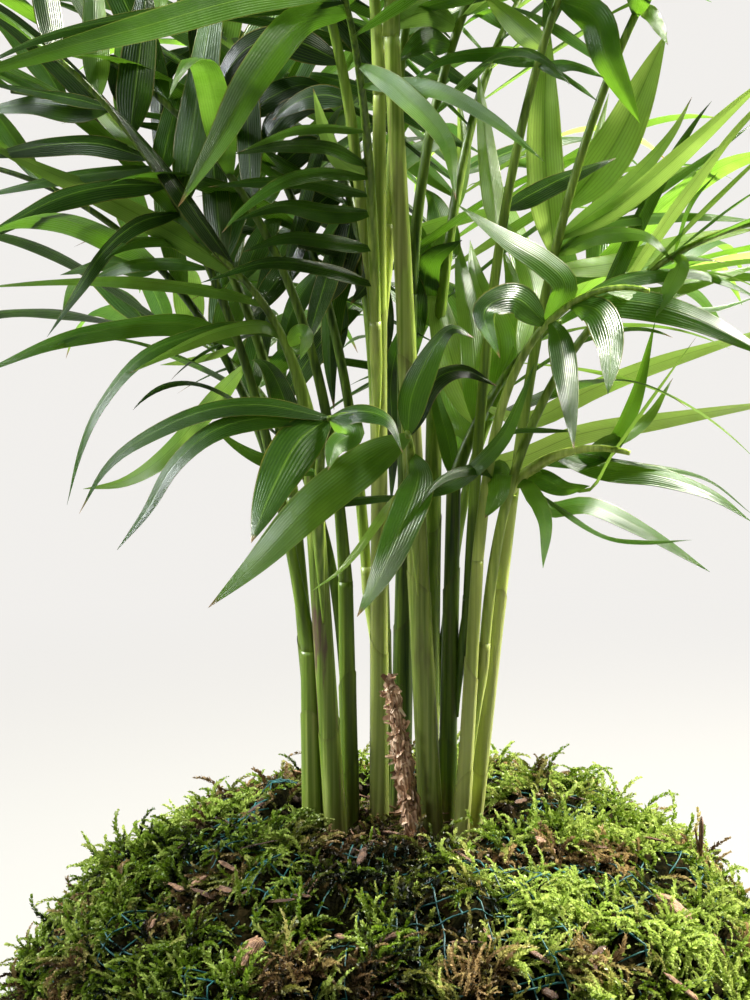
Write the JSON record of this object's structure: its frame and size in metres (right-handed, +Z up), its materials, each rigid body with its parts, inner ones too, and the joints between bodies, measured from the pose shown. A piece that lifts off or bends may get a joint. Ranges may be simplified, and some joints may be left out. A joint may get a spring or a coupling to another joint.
{
  "type": "kokedama moss ball plant",
  "caption": "Round moss-wrapped soil ball held by thin netting, with a clump of small palms whose feathery fronds arch out above it.",
  "frame": {"origin": "centre of the flat foot under the moss ball, where it rests", "axes": "+Z up along the stems, -Y towards the front of the picture, +X to its right"},
  "size_m": [0.3422, 0.3037, 0.4938],
  "materials": {
    "moss": "soft feathery sheet moss",
    "soil": "damp dark potting soil",
    "net": "thin blue-green netting",
    "stem": "smooth light green stems with brown streaks",
    "leaf": "satin leaflets with fine lengthwise veins",
    "dry": "dry brown bark and leaf sheath"
  },
  "bodies": {
    "root": {"moss_wrap": "moss", "soil_ball": "soil", "net": "net", "dry_sheath": "dry", "bark_chip_1": "dry", "bark_chip_2": "dry", "bark_chip_3": "dry", "bark_chip_4": "dry", "stem_1": "stem", "stem_2": "stem", "stem_3": "stem", "stem_4": "stem", "stem_5": "stem", "stem_6": "stem", "stem_7": "stem", "stem_8": "stem", "stem_9": "stem", "stem_10": "stem", "stem_11": "stem", "stem_12": "stem", "frond_1": "leaf", "frond_2": "leaf", "frond_3": "leaf", "frond_4": "leaf", "frond_5": "leaf", "frond_6": "leaf", "frond_7": "leaf", "frond_8": "leaf", "frond_9": "leaf", "frond_10": "leaf", "frond_11": "leaf", "frond_12": "leaf", "frond_13": "leaf", "frond_14": "leaf", "frond_15": "leaf", "frond_16": "leaf", "frond_17": "leaf", "frond_18": "leaf", "frond_19": "leaf", "frond_20": "leaf", "frond_21": "leaf", "frond_22": "leaf", "frond_23": "leaf", "frond_24": "leaf", "frond_25": "leaf", "frond_26": "leaf"}
  },
  "joints": []
}
